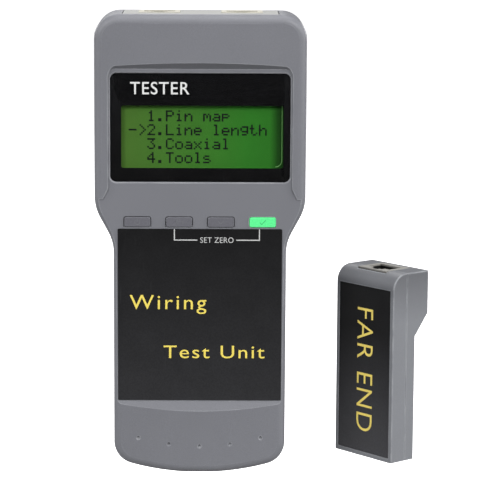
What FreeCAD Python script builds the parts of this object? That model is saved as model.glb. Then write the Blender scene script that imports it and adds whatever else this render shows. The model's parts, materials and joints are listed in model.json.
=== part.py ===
"""Hand-held network cable tester with its separate remote end unit. Millimetres.

+Z runs up the length of the main unit, -Y is its front (display and keys) and +X is to the
right as the user reads the display. The origin is the middle of the flat the main unit stands
on. The remote stands to the right of the main unit, turned about Z.
"""
import FreeCAD, Part
import math
import os
import Sketcher

V = FreeCAD.Vector
doc = FreeCAD.newDocument("CableTester")

# ---------------------------------------------------------------- driving sizes
SIZES = {
    # case outline, seen from the front
    "case_tall": 178.0,
    "head_half": 40.45,
    "grip_half": 33.2,
    "top_corner": 9.2,
    "neck_low": 86.4,
    "neck_bend": 16.6,
    "neck_slope": 28.5,
    "base_bow": 105.5,
    "base_flat": 6.0,
    "base_corner": 9.0,
    # case depth: distances from the parting plane y = 0
    "crown_out": 16.4,
    "crown_low_out": 15.3,
    "crown_bow": 450.0,
    "deck_out": 14.0,
    "back_out": 16.0,
    "front_round": 3.2,
    "back_round": 3.0,
    "wall": 2.0,
    "seam": 0.2,
    # recessed deck
    "deck_half": 35.2,
    "deck_low": 28.55,
    "deck_high": 157.4,
    "ramp_low": 2.6,
    "ramp_high": 1.05,
    "deck_fade_high": 111.5,
    "deck_fade_low": 107.5,
    "deck_corner": 3.0,
    # display window and its mask
    "window_half": 34.3,
    "window_low": 114.1,
    "window_high": 155.6,
    "window_thick": 1.0,
    "window_corner": 2.3,
    "window_bevel": 0.3,
    "mask_thick": 0.1,
    "fit_gap": 0.1,
    # display
    "screen_middle": 0.8,
    "screen_half": 30.9,
    "screen_low": 119.4,
    "screen_high": 143.3,
    "screen_corner": 0.8,
    "bezel_half": 35.0,
    "bezel_low": 114.5,
    "bezel_high": 149.0,
    "bezel_front": 11.9,
    "bezel_deep": 4.0,
    "bezel_sheet": 0.6,
    "glass_thick": 1.8,
    "lcd_board_half": 36.0,
    "lcd_board_low": 109.5,
    "lcd_board_high": 154.5,
    "lcd_board_front": 7.85,
    "lcd_board_thick": 1.2,
    # keys
    "key_pitch": 16.0,
    "key_level": 98.65,
    "key_wide": 10.0,
    "key_high": 3.8,
    "key_gap": 0.17,
    "key_proud": 0.35,
    "key_corner": 0.7,
    "key_soft": 0.28,
    "key_flange": 0.8,
    "key_stem": 1.5,
    "switch_wide": 6.0,
    "switch_high": 3.5,
    "plunger": 1.7,
    "plunger_out": 1.0,
    # overlay label
    "label_half": 31.5,
    "label_low": 28.95,
    "label_high": 96.05,
    "label_thick": 0.25,
    # chin dimples
    "dimple": 0.8,
    "dimple_step": 11.85,
    "dimple_level": 10.8,
    "dimple_bow": 90.0,
    # main board
    "board_post_high": 33.5,
    "board_post_low": 26.5,
    "board_front": 5.1,
    "board_thick": 1.6,
    "board_half": 36.5,
    "board_low_half": 29.5,
    "board_top_half": 30.5,
    "board_low": 82.0,
    "board_step_low": 110.0,
    "board_step_high": 160.0,
    "board_high": 172.0,
    # components on the back of the main board
    "rest": 0.01,
    "chip_middle": 128.0,
    "chip_half": 7.0,
    "chip_stand": 0.2,
    "chip_top": 1.8,
    "leg_pitch": 1.1,
    "leg_wide": 0.4,
    "leg_thick": 0.6,
    "leg_root": 6.5,
    "leg_reach": 8.5,
    "crystal_x": 17.0,
    "crystal_level": 140.0,
    "crystal_long": 11.0,
    "crystal_wide": 4.6,
    "crystal_high": 3.6,
    "crystal_round": 2.2,
    "capacitor": 3.15,
    "capacitor_high": 7.0,
    "capacitor_x": -18.0,
    "capacitor_level": 132.0,
    "capacitor_step": 10.0,
    "trimmer_x": -28.0,
    "trimmer_level": 123.0,
    "trimmer_half": 3.2,
    "trimmer_high": 3.6,
    "trimmer_well": 2.1,
    "trimmer_floor": 2.4,
    "rotor": 2.05,
    "rotor_high": 1.4,
    "rotor_gap": 0.1,
    "rotor_slot": 0.3,
    "header_half": 20.4,
    "header_low": 4.5,
    "header_high": 2.0,
    # sockets
    "port_middle": 15.84,
    "port_wide": 15.9,
    "port_deep": 16.0,
    "port_high": 13.2,
    "port_proud": 0.2,
    "plug_wide": 11.9,
    "plug_high": 6.8,
    "plug_deep": 13.0,
    "plug_base": 3.9,
    "tab_wide": 6.6,
    "tab_base": 2.2,
    "latch_wide": 4.0,
    "latch_base": 1.0,
    "contact_pitch": 1.02,
    "contact_wide": 0.4,
    # end panel
    "panel_half": 29.6,
    "panel_deep": 11.0,
    "panel_slit": 0.4,
    "panel_lip": 1.0,
    "panel_under": 1.0,
    # fastenings
    "post": 3.25,
    "post_side_high": 34.6,
    "post_high": 167.0,
    "post_side_low": 28.0,
    "post_low": 74.0,
    "screw": 1.25,
    "screw_gap": 0.05,
    "screw_free": 0.25,
    "screw_head": 2.7,
    "screw_head_high": 1.8,
    "sink": 3.1,
    "sink_wall": 1.2,
    "sink_floor": 6.0,
    "small_post": 2.2,
    "small_screw": 0.85,
    "small_head": 1.7,
    "small_head_high": 1.1,
    # battery bay and door
    "cell": 7.25,
    "cell_long": 50.5,
    "cell_pitch": 15.0,
    "cell_level": 6.2,
    "nub": 2.75,
    "nub_high": 1.2,
    "bay_half": 30.3,
    "bay_low": 9.0,
    "bay_high": 66.0,
    "bay_floor": 1.2,
    "bay_wall": 1.8,
    "rib_half": 0.5,
    "rib_top": 0.8,
    "door_half": 28.0,
    "door_gap": 0.12,
    "door_thick": 1.95,
    "rail_out": 2.2,
    "rail_thick": 1.2,
    "rail_low": 5.4,
    "rail_high": 62.0,
    "rail_web": 1.2,
    "tongue_half": 4.0,
    "tongue_long": 8.0,
    "tongue_out": 1.2,
    "groove_half": 9.0,
    "groove_high": 1.1,
    "groove_step": 2.2,
    "groove_deep": 0.6,
    # rear label
    "plate_half": 26.0,
    "plate_low": 112.0,
    "plate_high": 146.0,
    "plate_thick": 0.15,
    "plate_sunk": 0.25,
    "plate_corner": 1.6,
    # battery springs, plates and leads
    "spring_wire": 0.35,
    "spring_low": 3.6,
    "spring_top": 2.4,
    "leaf_half": 5.0,
    "leaf_thick": 0.4,
    "lead": 0.6,
    "lead_x": 17.0,
    # remote
    "far_half": 16.4,
    "far_tall": 75.7,
    "far_split": 7.4,
    "far_thin": 12.2,
    "far_thick": 19.1,
    "far_bulge": 58.6,
    "far_slope": 49.9,
    "far_round": 6.5,
    "far_edge": 0.4,
    "far_wall": 1.8,
    "far_label_half": 14.6,
    "far_label_low": 1.75,
    "far_label_high": 69.1,
    "far_label_sunk": 0.5,
    "far_label_thick": 0.3,
    "far_board_half": 13.0,
    "far_board_low": 5.0,
    "far_board_high": 68.0,
    "far_board_front": 2.4,
    "far_board_thick": 1.3,
    "far_post_level": 14.0,
    "far_sink": 1.6,
    "diode": 1.0,
    "diode_long": 4.4,
    "diode_stand": 1.05,
    "diode_lead": 0.25,
    "diode_lead_long": 7.0,
    "diode_step": 6.0,
    "diode_row": 9.0,
    "diode_level": 28.0,
    "far_screw_long": 6.0,
    "far_x": 65.3,
    "far_y": 12.7,
    "far_turn": -50.4,
}

PAST = 1.0  # how far a cutting shape runs past the surface that it opens
BITE = 0.5  # how far shapes that are joined run into each other
BEYOND = 50.0  # further out than any side of the case or the remote

sheet = doc.addObject("Spreadsheet::Sheet", "Sizes")
for row, (alias, number) in enumerate(SIZES.items(), start=1):
    sheet.set(f"A{row}", alias)
    sheet.set(f"B{row}", str(number))
    sheet.setAlias(f"B{row}", alias)
doc.recompute()


def size(alias):
    """The number that the sheet holds under this alias."""
    return float(sheet.get(alias))


def bound(text):
    """An expression over the sheet's aliases, with each alias written as Sizes.alias."""
    words = []
    for word in str(text).split():
        words.append(f"Sizes.{word}" if word in SIZES else word)
    return " ".join(words)


def value(text):
    """What an expression over the aliases comes to."""
    return float(sheet.evalExpression(bound(text)))


# ---------------------------------------------------------------- small builders
def bind(thing, prop, text):
    thing.setExpression(prop, bound(text))


def place(thing, x, y, z):
    for axis, text in zip("xyz", (x, y, z)):
        bind(thing, f"Placement.Base.{axis}", text)


def block(name, x, y, z):
    """A box between two bounds on each axis, each bound an expression."""
    box = doc.addObject("Part::Box", name)
    for prop, (low, high) in (("Length", x), ("Width", y), ("Height", z)):
        bind(box, prop, f"( {high} ) - ( {low} )")
    place(box, x[0], y[0], z[0])
    return box


def rod(name, radius, x, y, z, long):
    """A cylinder that starts at x, y, z and runs along +Y."""
    cylinder = doc.addObject("Part::Cylinder", name)
    bind(cylinder, "Radius", radius)
    bind(cylinder, "Height", long)
    cylinder.Placement.Rotation = FreeCAD.Rotation(V(1, 0, 0), -90)
    place(cylinder, x, y, z)
    return cylinder


def joined(name, things):
    fuse = doc.addObject("Part::MultiFuse", name)
    fuse.Shapes = things
    return fuse


def group(name, things):
    """Separate solids of one kind, kept in one node."""
    compound = doc.addObject("Part::Compound", name)
    compound.Links = things
    return compound


def without(name, base, *tools):
    cut = doc.addObject("Part::Cut", name)
    cut.Base = base
    cut.Tool = tools[0] if len(tools) == 1 else joined(name + "_tools", list(tools))
    return cut


def rounded_plate(name, wide, high, thick, corner, origin):
    """A PartDesign body: a centred rectangle padded towards -Y by thick, its four long edges rounded."""
    body = doc.addObject("PartDesign::Body", name)
    plane = [f for f in body.Origin.OriginFeatures if f.Role == "XZ_Plane"][0]
    sketch = body.newObject("Sketcher::SketchObject", name + "_outline")
    sketch.AttachmentSupport = [(plane, "")]
    sketch.MapMode = "FlatFace"
    x, y = value(wide) / 2, value(high) / 2
    corners = [V(-x, -y, 0), V(x, -y, 0), V(x, y, 0), V(-x, y, 0)]
    for i in range(4):
        sketch.addGeometry(Part.LineSegment(corners[i], corners[(i + 1) % 4]))
    for i in range(4):
        sketch.addConstraint(Sketcher.Constraint("Coincident", i, 2, (i + 1) % 4, 1))
        sketch.addConstraint(Sketcher.Constraint("Vertical" if i % 2 else "Horizontal", i))
    sketch.addConstraint(Sketcher.Constraint("Symmetric", 0, 1, 1, 2, -1, 1))
    across = sketch.addConstraint(Sketcher.Constraint("DistanceX", 0, 1, 0, 2, 2 * x))
    upward = sketch.addConstraint(Sketcher.Constraint("DistanceY", 1, 1, 1, 2, 2 * y))
    bind(sketch, f"Constraints[{across}]", wide)
    bind(sketch, f"Constraints[{upward}]", high)
    pad = body.newObject("PartDesign::Pad", name + "_pad")
    pad.Profile = sketch
    bind(pad, "Length", thick)
    doc.recompute()
    if corner:
        edges = []
        for i, edge in enumerate(pad.Shape.Edges, start=1):
            if abs(edge.tangentAt(edge.FirstParameter).y) > 0.99:
                edges.append(f"Edge{i}")
        fillet = body.newObject("PartDesign::Fillet", name + "_corners")
        fillet.Base = (pad, edges)
        bind(fillet, "Radius", corner)
        body.Tip = fillet
    place(body, *origin)
    doc.recompute()
    return body


def feature(name, shape, placement=None):
    """A sub-part whose shape is computed below from the sheet's sizes."""
    thing = doc.addObject("Part::Feature", name)
    thing.Shape = shape
    if placement is not None:
        thing.Placement = placement
    return thing


def box_shape(x, y, z):
    """A plain box from (low, high) pairs of numbers."""
    return Part.makeBox(x[1] - x[0], y[1] - y[0], z[1] - z[0], V(x[0], y[0], z[0]))


def rod_shape(radius, x, z, y_low, y_high):
    """A plain cylinder along Y."""
    return Part.makeCylinder(radius, y_high - y_low, V(x, y_low, z), V(0, 1, 0))


# ---------------------------------------------------------------- case outline
def arc_xz(x, z, radius, start, end):
    """An arc in the XZ plane about (x, z), between two angles in radians."""
    points = []
    for angle in (start, (start + end) / 2, end):
        points.append(V(x + radius * math.cos(angle), 0, z + radius * math.sin(angle)))
    return Part.Arc(*points).toShape()


def line_xz(x1, z1, x2, z2):
    return Part.LineSegment(V(x1, 0, z1), V(x2, 0, z2)).toShape()


def case_face(inset):
    """The case's outline as a face in the XZ plane, pulled in by inset all round."""
    tall, head, grip = size("case_tall"), size("head_half"), size("grip_half")
    top, bend, corner, bow = size("top_corner"), size("neck_bend"), size("base_corner"), size("base_bow")
    slope = math.radians(size("neck_slope"))
    bow_z = math.sqrt(bow**2 - size("base_flat") ** 2)
    flat = math.sqrt((bow - inset) ** 2 - (bow_z - inset) ** 2)
    corner_z = bow_z - math.sqrt((bow - corner) ** 2 - (grip - corner) ** 2)
    corner_angle = math.atan2(corner_z - bow_z, grip - corner)
    straight = (head - grip - 2 * bend * (1 - math.cos(slope))) / math.sin(slope)
    neck_low = size("neck_low")
    neck_high = neck_low + 2 * bend * math.sin(slope) + straight * math.cos(slope)

    low_end = (grip + bend - (bend + inset) * math.cos(slope), neck_low + (bend + inset) * math.sin(slope))
    high_end = (head - bend + (bend - inset) * math.cos(slope), neck_high - (bend - inset) * math.sin(slope))
    right = [
        arc_xz(0, bow_z, bow - inset, math.atan2(inset - bow_z, flat), corner_angle),
        arc_xz(grip - corner, corner_z, corner - inset, corner_angle, 0),
        line_xz(grip - inset, corner_z, grip - inset, neck_low),
        arc_xz(grip + bend, neck_low, bend + inset, math.pi, math.pi - slope),
        line_xz(*low_end, *high_end),
        arc_xz(head - bend, neck_high, bend - inset, -slope, 0),
        line_xz(head - inset, neck_high, head - inset, tall - top),
        arc_xz(head - top, tall - top, top - inset, 0, math.pi / 2),
    ]
    left = [edge.mirror(V(0, 0, 0), V(1, 0, 0)) for edge in right]
    ends = [
        line_xz(-flat, inset, flat, inset),
        line_xz(-(head - top), tall - inset, head - top, tall - inset),
    ]
    return Part.Face(Part.Wire(Part.__sortEdges__(right + left + ends)))


def case_slab(inset, y_low, y_high):
    """The outline, pulled in by inset, as a solid between two depths."""
    face = case_face(inset)
    face.translate(V(0, y_low, 0))
    return face.extrude(V(0, y_high - y_low, 0))


def crown_front(x, z):
    """The y of the crowned front at x and z."""
    bow, low, rise = size("crown_bow"), size("crown_low_out"), size("crown_out") - size("crown_low_out")
    return bow - math.sqrt(bow**2 - x**2) - low - rise * z / size("case_tall")


def crown(radius_cut):
    """The round bar whose front side is the case's crowned front, radius_cut smaller.

    It leans a little forward, so that the front stands out further at the top end than at the foot.
    """
    bow, tall = size("crown_bow"), size("case_tall")
    run = V(0, crown_front(0, tall) - crown_front(0, 0), tall)
    start = V(0, bow + crown_front(0, 0), 0) - run
    return Part.makeCylinder(bow - radius_cut, 3 * run.Length, start, run)


def face_edges(solid, on_face):
    """The outer edges of every face of the solid that on_face accepts."""
    edges = []
    for face in solid.Faces:
        if on_face(face):
            edges += face.OuterWire.Edges
    return edges


def is_flat_at(y):
    """A test for flat faces in the plane of this y."""
    def test(face):
        return isinstance(face.Surface, Part.Plane) and abs(face.CenterOfMass.y - y) < 1e-4 and (
            abs(face.normalAt(0, 0).y) > 0.999
        )
    return test


def is_crown(face):
    return isinstance(face.Surface, Part.Cylinder) and abs(face.Surface.Radius - size("crown_bow")) < 1e-3


def seam_edges(solid):
    """The edges where the halves of the case meet, but not the one on the standing flat."""
    return [edge for edge in face_edges(solid, is_flat_at(0)) if edge.CenterOfMass.z > 1e-3]


def front_body():
    """The front half of the case as a solid, with its crowned and rounded front."""
    solid = case_slab(0, -size("crown_out") - PAST, 0).common(crown(0))
    solid = solid.makeFillet(size("front_round"), face_edges(solid, is_crown))
    return solid.makeChamfer(size("seam"), seam_edges(solid))


def rear_body():
    """The rear half of the case as a solid, with its rounded back."""
    back = size("back_out")
    solid = case_slab(0, 0, back)
    solid = solid.makeFillet(size("back_round"), face_edges(solid, is_flat_at(back)))
    return solid.makeChamfer(size("seam"), seam_edges(solid))


def deck_cut():
    """What is taken off the crowned front to leave the flat deck between its two ramps."""
    deck, far = -size("deck_out"), -size("crown_out") - 4
    low, high = size("deck_low"), size("deck_high")
    low_run = size("ramp_low") * (deck - far)
    high_run = size("ramp_high") * (deck - far)
    side = [V(0, deck, low), V(0, far, low - low_run), V(0, far, high + high_run), V(0, deck, high)]
    wide = 2 * size("head_half")
    prism = Part.Face(Part.makePolygon(side + side[:1])).extrude(V(wide, 0, 0))
    prism.translate(V(-wide / 2, 0, 0))
    half, fade_high, fade_low = size("deck_half"), size("deck_fade_high"), size("deck_fade_low")
    edge = size("head_half") - size("front_round")
    right = [(half, high + high_run), (half, fade_high), (edge, fade_low), (wide, fade_low), (wide, 0)]
    outline = [V(x, 0, z) for x, z in right] + [V(-x, 0, z) for x, z in reversed(right)]
    plan = Part.Face(Part.makePolygon(outline + outline[:1])).extrude(V(0, 2 * far, 0))
    tool = prism.common(plan)
    corners = []
    for edge in tool.Edges:
        middle = edge.CenterOfMass
        if abs(abs(middle.x) - half) < 1e-4 and middle.z > high and abs(edge.tangentAt(edge.FirstParameter).z) < 0.999:
            corners.append(edge)
    return tool.makeFillet(size("deck_corner"), corners)


def key_places():
    """The x of each key, from left to right."""
    pitch = size("key_pitch")
    return [pitch * (i - 1.5) for i in range(4)]


def case_posts():
    """(x, z) of the four posts that the case screws go into."""
    high = [(side * size("post_side_high"), size("post_high")) for side in (-1, 1)]
    low = [(side * size("post_side_low"), size("post_low")) for side in (-1, 1)]
    return high + low


def lcd_posts():
    """(x, z) of the posts that hold the display's board."""
    side = size("lcd_board_half") - size("small_post") - 0.8
    levels = (size("lcd_board_low") + 2.5, size("lcd_board_high") - 2.5)
    return [(sign * side, level) for sign in (-1, 1) for level in levels]


def board_posts():
    """(x, z) of the posts that hold the main board."""
    high = [(sign * size("board_post_high"), size("lcd_board_high") + 3.2) for sign in (-1, 1)]
    low = [(sign * size("board_post_low"), size("board_low") + 4.0) for sign in (-1, 1)]
    return high + low


# ---------------------------------------------------------------- case shells
def panel_opening():
    """The space that the end panel fills, its lip included."""
    half = size("panel_half") + size("panel_slit")
    deep = size("panel_deep") + size("fit_gap")
    return box_shape((-half, half), (-deep, deep), (size("case_tall") - 4, size("case_tall") + PAST))


def front_shell():
    wall, gap, inner = size("wall"), size("fit_gap"), size("deck_out") - size("wall")
    solid = front_body().cut(deck_cut())

    # hollow: flat behind the deck, crowned behind the chin and the top
    hollow = case_slab(wall, -size("crown_out") - PAST, PAST).common(crown(wall))
    behind_deck = box_shape(
        (-BEYOND, BEYOND), (-BEYOND, -inner), (size("deck_low") - 6, size("deck_high") + 5)
    )
    solid = solid.cut(hollow.cut(behind_deck))

    # window seat with a small bevel round its mouth, and the display opening
    seat = size("window_thick") + size("mask_thick")
    window = rounded_box(
        size("window_half") + gap, size("window_low") - gap, size("window_high") + gap,
        size("window_corner") + gap, -size("deck_out") - PAST, -size("deck_out") + seat,
    )
    solid = solid.cut(window)
    bevel = size("window_bevel")
    mouth = rounded_box(
        size("window_half") + gap + bevel, size("window_low") - gap - bevel,
        size("window_high") + gap + bevel, size("window_corner") + gap + bevel,
        -size("deck_out") - PAST, -size("deck_out") + bevel,
    )
    rim = [e for e in mouth.Edges if e.CenterOfMass.y > -size("deck_out") + bevel - 1e-6]
    solid = solid.cut(mouth.makeChamfer(bevel * 0.98, rim))
    margin = 0.6
    screen = box_shape(
        (size("screen_middle") - size("screen_half") - margin, size("screen_middle") + size("screen_half") + margin),
        (-BEYOND, 0),
        (size("screen_low") - margin, size("screen_high") + margin),
    )
    solid = solid.cut(screen)

    # key openings
    across = size("key_wide") / 2 + size("key_gap")
    up = size("key_high") / 2 + size("key_gap")
    level, corner = size("key_level"), size("key_corner") + size("key_gap")
    for x in key_places():
        solid = solid.cut(rounded_box(across, level - up, level + up, corner, -BEYOND, 0, x))

    # posts for the screws, with their pilot holes
    pilots = []
    for places, outer, screw, end in (
        (case_posts(), size("post"), size("screw"), 0.0),
        (board_posts(), size("small_post"), size("small_screw"), -size("board_front")),
        (lcd_posts(), size("small_post"), size("small_screw"), -size("lcd_board_front")),
    ):
        for x, z in places:
            solid = solid.fuse(rod_shape(outer, x, z, -inner - BITE, end))
            pilots.append(rod_shape(screw + size("screw_gap"), x, z, -inner + BITE, end + PAST))
    for pilot in pilots:
        solid = solid.cut(pilot)

    # end panel opening, and the shallow dimples in the chin
    solid = solid.cut(panel_opening())
    for i in range(-2, 3):
        x = i * size("dimple_step")
        z = size("dimple_level") + size("dimple_bow") - math.sqrt(size("dimple_bow") ** 2 - x**2)
        front = crown_front(x, z) - size("dimple") * 0.3
        solid = solid.cut(Part.makeSphere(size("dimple"), V(x, front, z)))
    return solid.removeSplitter()


def rounded_box(half, low, high, corner, y_low, y_high, middle=0.0):
    """A box seen from the front, its four corners rounded, between two depths."""
    box = box_shape((middle - half, middle + half), (y_low, y_high), (low, high))
    edges = [e for e in box.Edges if abs(e.tangentAt(e.FirstParameter).y) > 0.99]
    return box.makeFillet(corner, edges)


def rear_shell():
    wall, back = size("wall"), size("back_out")
    solid = rear_body().cut(case_slab(wall, -PAST, back - wall))

    # battery bay: floor and end walls, then the space for the cells
    bay_low, bay_high, bay_wall = size("bay_low"), size("bay_high"), size("bay_wall")
    floor = size("bay_floor")
    span = (bay_low - bay_wall, bay_high + bay_wall)
    behind = case_slab(wall / 2, 0, back - wall).common(box_shape((-BEYOND, BEYOND), (-BEYOND, back), span))
    inside = wall + 3 * size("fit_gap")
    ahead = case_slab(inside, -2 * floor, PAST).common(box_shape((-BEYOND, BEYOND), (-BEYOND, BEYOND), span))
    solid = solid.fuse(behind).fuse(ahead)
    bay = (-size("bay_half"), size("bay_half"))
    solid = solid.cut(box_shape(bay, (-floor, back - wall), (bay_low, bay_high)))
    for i in (-1, 0, 1):
        x = i * size("cell_pitch")
        rib = box_shape((x - size("rib_half"), x + size("rib_half")), (-floor, size("rib_top")), (bay_low, bay_high))
        solid = solid.fuse(rib)

    # opening for the door, slots for its rails, and a notch and a way out for its tongue
    gap, half = size("door_gap"), size("door_half")
    inner = back - size("door_thick") - gap
    solid = solid.cut(box_shape((-half - gap, half + gap), (inner, back + PAST), (-PAST, bay_high + gap)))
    rail_deep = (inner - size("rail_thick") - 2 * gap, inner + BITE)
    for side in (-1, 1):
        outer = half + size("rail_out") + gap
        across = sorted((side * (half - size("rail_web") - 0.2), side * outer))
        solid = solid.cut(box_shape(across, rail_deep, (-PAST, bay_low + BITE)))
    tongue = size("tongue_half") + gap
    for span in ((bay_high - BITE, bay_high + size("tongue_out") + 0.3), (-PAST, bay_low + BITE)):
        solid = solid.cut(box_shape((-tongue, tongue), rail_deep, span))

    # tubes for the case screws, their heads sunk in from the back
    for x, z in case_posts():
        solid = solid.fuse(rod_shape(size("sink") + size("sink_wall"), x, z, 0.0, back - wall + BITE))
    solid = solid.common(rear_body().fuse(case_slab(inside, -2 * floor - PAST, BITE)))
    for x, z in case_posts():
        solid = solid.cut(rod_shape(size("screw") + size("screw_free"), x, z, -PAST, back + PAST))
        solid = solid.cut(rod_shape(size("sink"), x, z, size("sink_floor"), back + PAST))
    solid = solid.cut(panel_opening())

    # shallow recess for the rear label
    gap = size("fit_gap")
    recess = rounded_box(
        size("plate_half") + gap, size("plate_low") - gap, size("plate_high") + gap,
        size("plate_corner"), back - size("plate_sunk"), back + PAST,
    )
    return solid.cut(recess).removeSplitter()


def battery_door():
    """A plate that follows the back's shape, on two rails, with a tongue and finger grooves."""
    half, back = size("door_half"), size("back_out")
    inner = back - size("door_thick")
    top = size("bay_high")
    plate = rear_body().common(box_shape((-half, half), (inner, back + PAST), (-PAST, top)))
    gap = size("door_gap")
    under = inner - gap - size("rail_thick")
    for side in (-1, 1):
        web = sorted((side * (half - size("rail_web")), side * half))
        lip = sorted((side * (half - size("rail_web")), side * (half + size("rail_out"))))
        rail_span = (size("rail_low"), size("rail_high"))
        plate = plate.fuse(box_shape(web, (under, inner + 0.1), rail_span))
        plate = plate.fuse(box_shape(lip, (under, inner - gap), rail_span))
    tongue, root = (-size("tongue_half"), size("tongue_half")), top - size("tongue_long")
    plate = plate.fuse(box_shape(tongue, (under, inner + 0.1), (root, top - 1)))
    plate = plate.fuse(box_shape(tongue, (under, inner - gap), (root, top + size("tongue_out"))))
    groove_half, groove_high = size("groove_half"), size("groove_high")
    for i in range(5):
        level = top - 6 - size("groove_step") * i
        groove_span = (level - groove_high / 2, level + groove_high / 2)
        groove_depth = (back - size("groove_deep"), back + PAST)
        plate = plate.cut(box_shape((-groove_half, groove_half), groove_depth, groove_span))
    return plate.removeSplitter()


feature("front_shell", front_shell())
feature("rear_shell", rear_shell())
feature("battery_door", battery_door())


# ---------------------------------------------------------------- end panel and sockets
panel_plate = block(
    "panel_plate", ("- panel_half", "panel_half"), ("- panel_deep", "panel_deep"),
    ("case_tall - wall", "case_tall"),
)
panel_foot = block(
    "panel_foot", ("- panel_half - panel_lip", "panel_half + panel_lip"),
    ("- panel_deep - 0.5", "panel_deep + 0.5"),
    ("case_tall - wall - fit_gap - panel_under", "case_tall - wall - fit_gap"),
)
panel_neck = block(
    "panel_neck", ("- panel_half", "panel_half"), ("- panel_deep", "panel_deep"),
    ("case_tall - wall - fit_gap", "case_tall - wall"),
)
panel_holes = []
for side in ("-", ""):
    middle = f"{side} port_middle"
    panel_holes.append(
        block(
            "panel_hole" + ("_left" if side else "_right"),
            (f"{middle} - port_wide / 2 - fit_gap", f"{middle} + port_wide / 2 + fit_gap"),
            ("board_thick - board_front - fit_gap", "board_thick - board_front + port_high + fit_gap"),
            ("case_tall - 5", "case_tall + 1"),
        )
    )
without("end_panel", joined("panel_body", [panel_plate, panel_neck, panel_foot]), *panel_holes)


def port_housing(name):
    """A socket with its mouth in the plane z = 0 facing +Z and its board side at y = 0."""
    body = block(
        name + "_block", ("- port_wide / 2", "port_wide / 2"), ("0", "port_high"), ("- port_deep", "0")
    )
    spaces = []
    for part, wide, low, high in (
        ("plug", "plug_wide", "plug_base", "plug_base + plug_high"),
        ("tab", "tab_wide", "tab_base", "plug_base + 0.5"),
        ("latch", "latch_wide", "latch_base", "tab_base + 0.5"),
    ):
        spaces.append(
            block(f"{name}_{part}", (f"- {wide} / 2", f"{wide} / 2"), (low, high), ("- plug_deep", "1"))
        )
    return without(name, body, *spaces)


def port_contacts(name):
    """Eight spring contacts that lean out from the far wall of the socket's cavity."""
    wall_y = size("plug_base") + size("plug_high") - 0.02
    thick, pitch, wide = 0.35, size("contact_pitch"), size("contact_wide")
    front = [(wall_y, -1.6), (wall_y, -3.2), (wall_y - 2.9, -10.6)]
    back = [(y - thick, z - 0.1) for y, z in reversed(front)]
    points = [V(0, y, z) for y, z in front + back]
    bars = []
    for i in range(8):
        bar = Part.Face(Part.makePolygon(points + points[:1])).extrude(V(wide, 0, 0))
        bar.translate(V(pitch * (i - 3.5) - wide / 2, 0, 0))
        bars.append(bar)
    return feature(name, Part.makeCompound(bars))


for number, side in ((1, "-"), (2, "")):
    for piece in (port_housing(f"port_{number}_housing"), port_contacts(f"port_{number}_contacts")):
        place(piece, f"{side} port_middle", "board_thick - board_front", "case_tall + port_proud")


# ---------------------------------------------------------------- display
WINDOW_MIDDLE = "( window_low + window_high ) / 2"
rounded_plate(
    "display_window", "2 * window_half", "window_high - window_low", "window_thick",
    "window_corner", ("0", "window_thick - deck_out", WINDOW_MIDDLE),
)
rounded_plate(
    "mask_sheet", "2 * window_half", "window_high - window_low", "mask_thick",
    "window_corner", ("0", "window_thick + mask_thick - deck_out", WINDOW_MIDDLE),
)
rounded_plate(
    "mask_hole", "2 * screen_half", "screen_high - screen_low", "3", "screen_corner",
    ("screen_middle", "2 - deck_out", "( screen_low + screen_high ) / 2"),
)
without("window_mask", doc.getObject("mask_sheet"), doc.getObject("mask_hole"))

BEZEL_BACK = "bezel_deep - bezel_front"
bezel_outer = block(
    "bezel_outer", ("- bezel_half", "bezel_half"), ("- bezel_front", BEZEL_BACK), ("bezel_low", "bezel_high")
)
bezel_inner = block(
    "bezel_inner", ("bezel_sheet - bezel_half", "bezel_half - bezel_sheet"),
    ("bezel_sheet - bezel_front", f"{BEZEL_BACK} + 1"),
    ("bezel_low + bezel_sheet", "bezel_high - bezel_sheet"),
)
bezel_view = block(
    "bezel_view", ("screen_middle - screen_half - 0.3", "screen_middle + screen_half + 0.3"),
    ("- bezel_front - 1", "0"), ("screen_low - 0.3", "screen_high + 0.3"),
)
without("lcd_bezel", bezel_outer, bezel_inner, bezel_view)
INSIDE_BEZEL = ("2 * ( bezel_half - bezel_sheet - 0.2 )", "bezel_high - bezel_low - 2 * ( bezel_sheet + 0.2 )")
BEZEL_MIDDLE = "( bezel_low + bezel_high ) / 2"
rounded_plate(
    "lcd_glass", *INSIDE_BEZEL, "glass_thick", None,
    ("0", "bezel_sheet + 0.02 + glass_thick - bezel_front", BEZEL_MIDDLE),
)
rounded_plate(
    "lcd_backlight", *INSIDE_BEZEL, "bezel_deep - bezel_sheet - glass_thick - 0.1", None,
    ("0", f"{BEZEL_BACK} - 0.02", BEZEL_MIDDLE),
)


def drilled(name, plate, places, radius):
    """The plate with a round hole along Y at each place."""
    holes = []
    for i, (x, z) in enumerate(places):
        holes.append(rod(f"{name}_hole_{i}", radius, x, "-20", z, "40"))
    return without(name, plate, *holes)


lcd_board_blank = rounded_plate(
    "lcd_board_blank", "2 * lcd_board_half", "lcd_board_high - lcd_board_low", "lcd_board_thick", "1.5",
    ("0", "lcd_board_thick - lcd_board_front", "( lcd_board_low + lcd_board_high ) / 2"),
)
drilled("lcd_board", lcd_board_blank, lcd_posts(), "small_screw + 0.2")
block(
    "lcd_header", ("- header_half", "header_half"),
    ("lcd_board_thick - lcd_board_front + rest", "- board_front - rest"),
    ("lcd_board_high - header_low", "lcd_board_high - header_high"),
)

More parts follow.
